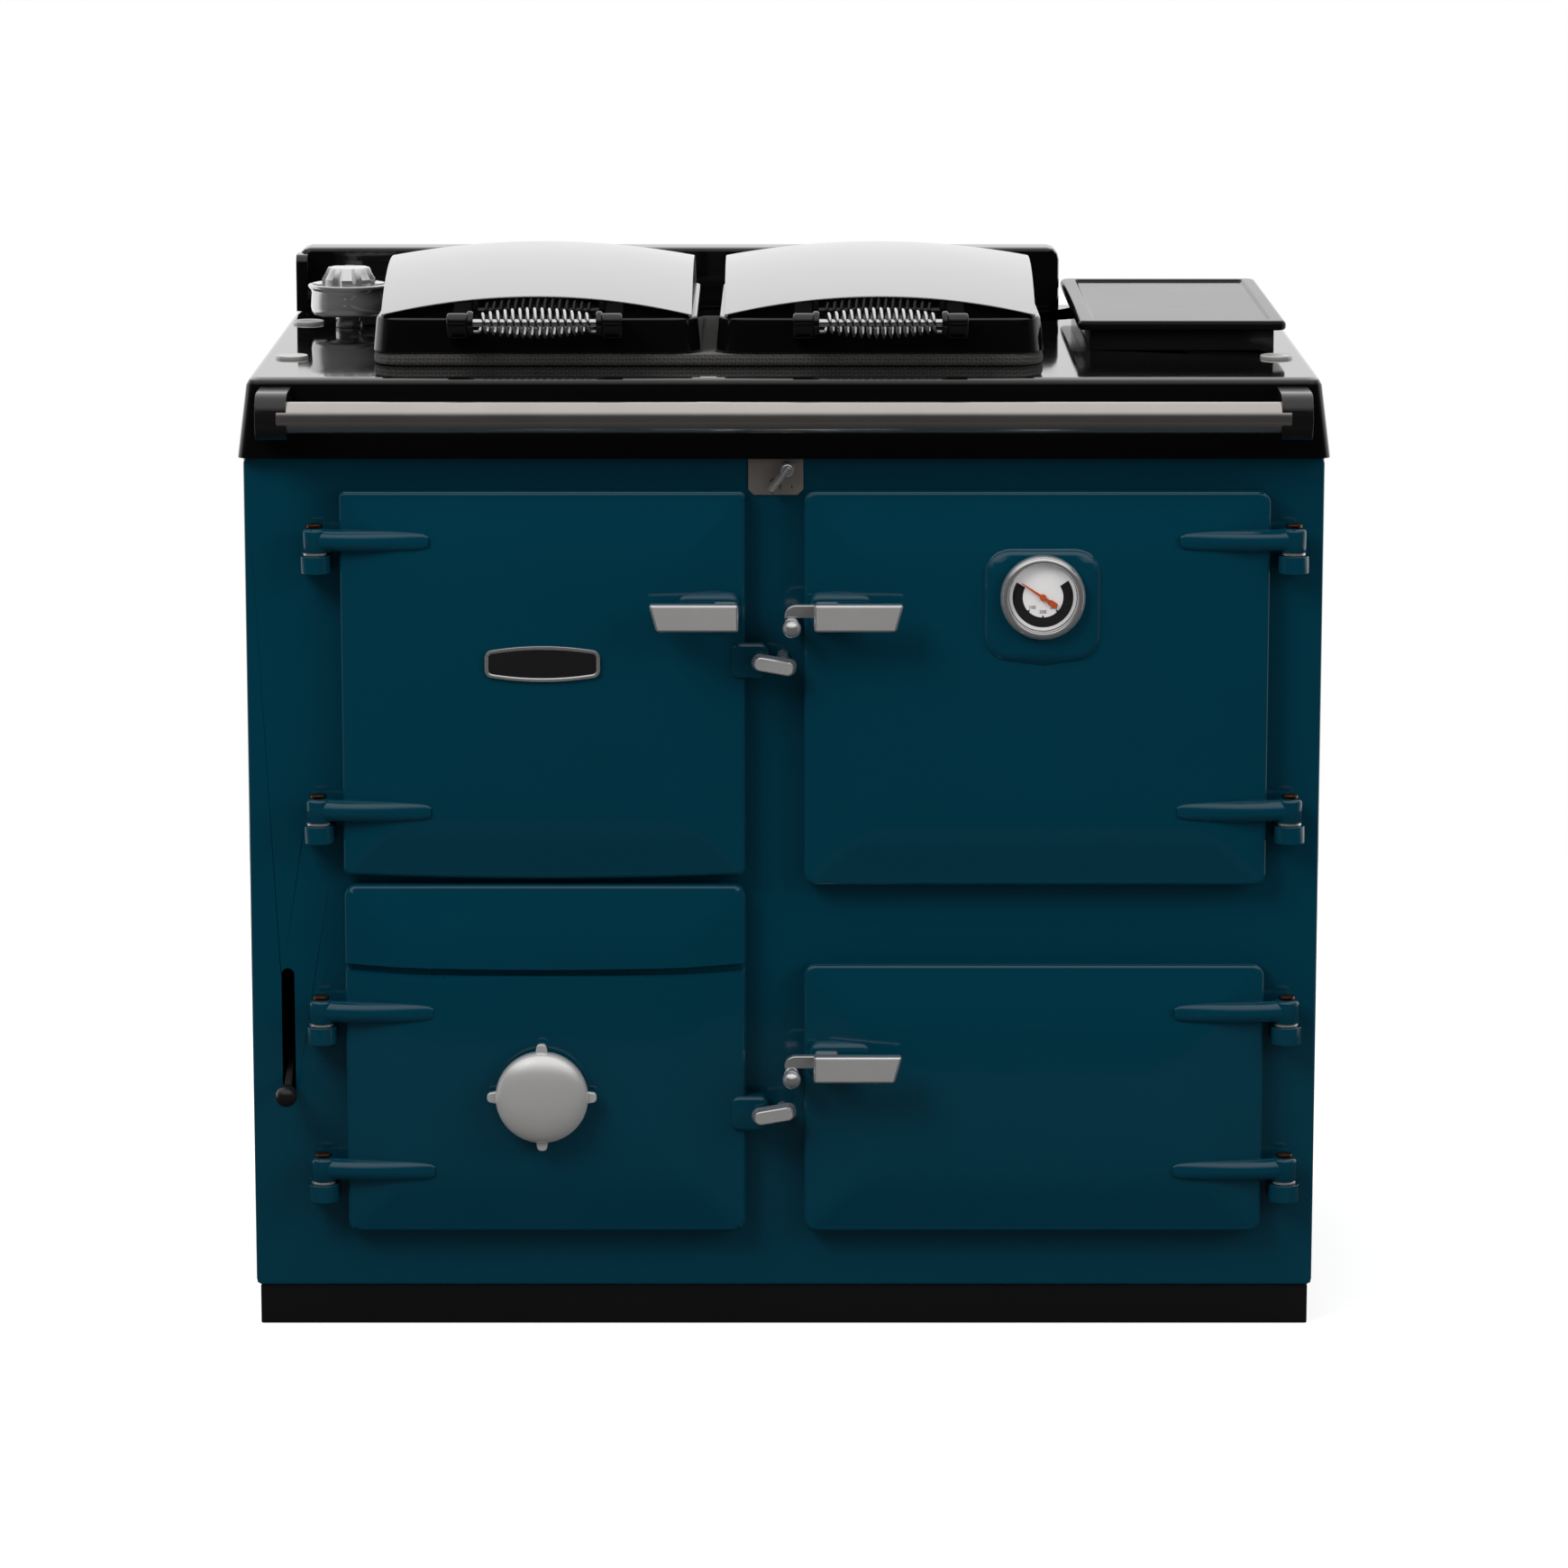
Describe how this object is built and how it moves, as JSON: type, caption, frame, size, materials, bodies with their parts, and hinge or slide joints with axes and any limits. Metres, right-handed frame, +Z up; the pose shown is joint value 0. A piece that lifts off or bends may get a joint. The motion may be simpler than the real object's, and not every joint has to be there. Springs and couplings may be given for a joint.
{
  "type": "cast iron range cooker",
  "caption": "Enamelled cast iron range cooker with firebox and ash doors, two ovens, a hotplate under insulated lids, a flue box and a handrail.",
  "frame": {"origin": "on the floor, in the middle of the overall box", "axes": "+Z up, front towards -Y, the viewer's right is +X"},
  "size_m": [0.9894, 0.681, 0.9831],
  "materials": {
    "teal_enamel": "gloss vitreous enamel on cast iron",
    "black_enamel": "gloss vitreous enamel on cast iron",
    "chrome": "polished",
    "brushed_steel": "fine brushed",
    "bronze": "dull copper bronze",
    "raw_casting": "as cast, machined on top",
    "sheet_steel": "vitreous enamelled sheet",
    "seal_rope": "braided glass rope",
    "gauge_glass": "clear",
    "needle_red": "painted orange red",
    "knob_black": "black phenolic knob on a steel bar"
  },
  "bodies": {
    "cooker": {"plinth": "black_enamel", "front_plate": "teal_enamel", "left_side_panel": "teal_enamel", "right_side_panel": "teal_enamel", "back_panel": "sheet_steel", "top_plate": "black_enamel", "splashback": "black_enamel", "hotplate": "raw_casting", "hotplate_seal": "seal_rope", "control_plate": "brushed_steel", "flue_box": "black_enamel", "handrail": "chrome", "left_rail_bracket": "black_enamel", "right_rail_bracket": "black_enamel", "firebox": "raw_casting", "ash_pan": "sheet_steel", "main_oven_box": "sheet_steel", "main_oven_shelf": "chrome", "lower_oven_box": "sheet_steel", "lower_oven_shelf": "chrome", "firebox_pin_upper": "bronze", "firebox_pin_lower": "bronze", "ash_pin_upper": "bronze", "ash_pin_lower": "bronze", "main_oven_pin_upper": "bronze", "main_oven_pin_lower": "bronze", "lower_oven_pin_upper": "bronze", "lower_oven_pin_lower": "bronze"},
    "firebox_door": {"firebox_door": "teal_enamel", "firebox_door_baffle": "sheet_steel", "firebox_door_handle": "chrome", "badge_plate": "chrome"},
    "ash_door": {"ash_door": "teal_enamel", "ash_door_baffle": "sheet_steel"},
    "main_oven_door": {"main_oven_door": "teal_enamel", "main_oven_door_liner": "sheet_steel", "main_oven_handle": "chrome", "gauge_case": "chrome", "gauge_glass": "gauge_glass"},
    "lower_oven_door": {"lower_oven_door": "teal_enamel", "lower_oven_door_liner": "sheet_steel", "lower_oven_handle": "chrome"},
    "left_lid": {"left_lid_base": "black_enamel", "left_lid_dome": "chrome", "left_lid_coil": "chrome"},
    "right_lid": {"right_lid_base": "black_enamel", "right_lid_dome": "chrome", "right_lid_coil": "chrome"},
    "firebox_latch": {"firebox_latch": "chrome"},
    "ash_latch": {"ash_latch": "chrome"},
    "gauge_needle": {"gauge_needle": "needle_red"},
    "spin_bush": {"spin_bush": "brushed_steel"},
    "spin_wheel": {"spin_wheel": "chrome"},
    "thermostat_knob": {"thermostat_knob": "chrome"},
    "damper_knob": {"damper_knob": "chrome"},
    "riddling_lever": {"riddling_lever": "knob_black"},
    "grate": {"grate": "raw_casting"},
    "flue_cover": {"flue_cover": "black_enamel"},
    "main_oven_bobbin": {"main_oven_bobbin": "chrome"},
    "lower_oven_bobbin": {"lower_oven_bobbin": "chrome"}
  },
  "joints": [
    {"name": "firebox_door_hinge", "type": "hinge", "parent": "cooker", "child": "firebox_door", "pos_m": [-0.425, -0.289, 0.6], "axis": [0, 0, -1], "range_deg": [0, 110]},
    {"name": "ash_door_hinge", "type": "hinge", "parent": "cooker", "child": "ash_door", "pos_m": [-0.425, -0.289, 0.25], "axis": [0, 0, -1], "range_deg": [0, 110]},
    {"name": "main_oven_door_hinge", "type": "hinge", "parent": "cooker", "child": "main_oven_door", "pos_m": [0.4615, -0.289, 0.6], "axis": [0, 0, 1], "range_deg": [0, 110]},
    {"name": "lower_oven_door_hinge", "type": "hinge", "parent": "cooker", "child": "lower_oven_door", "pos_m": [0.4615, -0.289, 0.22], "axis": [0, 0, 1], "range_deg": [0, 110]},
    {"name": "left_lid_hinge", "type": "hinge", "parent": "cooker", "child": "left_lid", "pos_m": [-0.2273, 0.167, 0.9101], "axis": [-1, 0, 0], "range_deg": [0, 80]},
    {"name": "right_lid_hinge", "type": "hinge", "parent": "cooker", "child": "right_lid", "pos_m": [0.0881, 0.167, 0.9101], "axis": [-1, 0, 0], "range_deg": [0, 80]},
    {"name": "firebox_latch_turn", "type": "hinge", "parent": "firebox_door", "child": "firebox_latch", "pos_m": [-0.022, -0.29, 0.63], "axis": [0, -1, 0], "range_deg": [0, 90]},
    {"name": "ash_latch_turn", "type": "hinge", "parent": "ash_door", "child": "ash_latch", "pos_m": [-0.022, -0.29, 0.207], "axis": [0, -1, 0], "range_deg": [0, 90]},
    {"name": "gauge_needle_turn", "type": "hinge", "parent": "main_oven_door", "child": "gauge_needle", "pos_m": [0.234, -0.31, 0.691], "axis": [0, 1, 0], "range_deg": [-246, 0]},
    {"name": "spin_bush_travel", "type": "slide", "parent": "ash_door", "child": "spin_bush", "axis": [0, -1, 0], "range_m": [0, 0.008]},
    {"name": "spin_wheel_turn", "type": "hinge", "parent": "spin_bush", "child": "spin_wheel", "pos_m": [-0.222, -0.32, 0.228], "axis": [0, -1, 0], "range_deg": [0, 720]},
    {"name": "thermostat_turn", "type": "hinge", "parent": "cooker", "child": "thermostat_knob", "pos_m": [-0.422, 0.143, 0.9], "axis": [0, 0, 1], "range_deg": [0, 270]},
    {"name": "damper_turn", "type": "hinge", "parent": "cooker", "child": "damper_knob", "pos_m": [0.003, -0.28, 0.803], "axis": [0, -1, 0], "range_deg": [0, 50]},
    {"name": "riddling_lever_swing", "type": "hinge", "parent": "cooker", "child": "riddling_lever", "pos_m": [-0.457, -0.112, 0.275], "axis": [-1, 0, 0], "range_deg": [0, 28]},
    {"name": "grate_rock", "type": "hinge", "parent": "cooker", "child": "grate", "pos_m": [-0.219, -0.0575, 0.448], "axis": [-1, 0, 0], "range_deg": [0, 11.2]},
    {"name": "flue_cover_lift", "type": "slide", "parent": "cooker", "child": "flue_cover", "axis": [0, 0, 1], "range_m": [0, 0.06]},
    {"name": "main_oven_bobbin_roll", "type": "hinge", "parent": "cooker", "child": "main_oven_bobbin", "pos_m": [0.007, -0.33, 0.666], "axis": [0, -1, 0], "continuous": true},
    {"name": "lower_oven_bobbin_roll", "type": "hinge", "parent": "cooker", "child": "lower_oven_bobbin", "pos_m": [0.007, -0.33, 0.249], "axis": [0, -1, 0], "continuous": true}
  ],
  "couplings": [
    {"joint": "spin_bush_travel", "follows": "spin_wheel_turn", "m_per_rad": 0.0006366},
    {"joint": "riddling_lever_swing", "follows": "grate_rock", "ratio": 2.5}
  ]
}
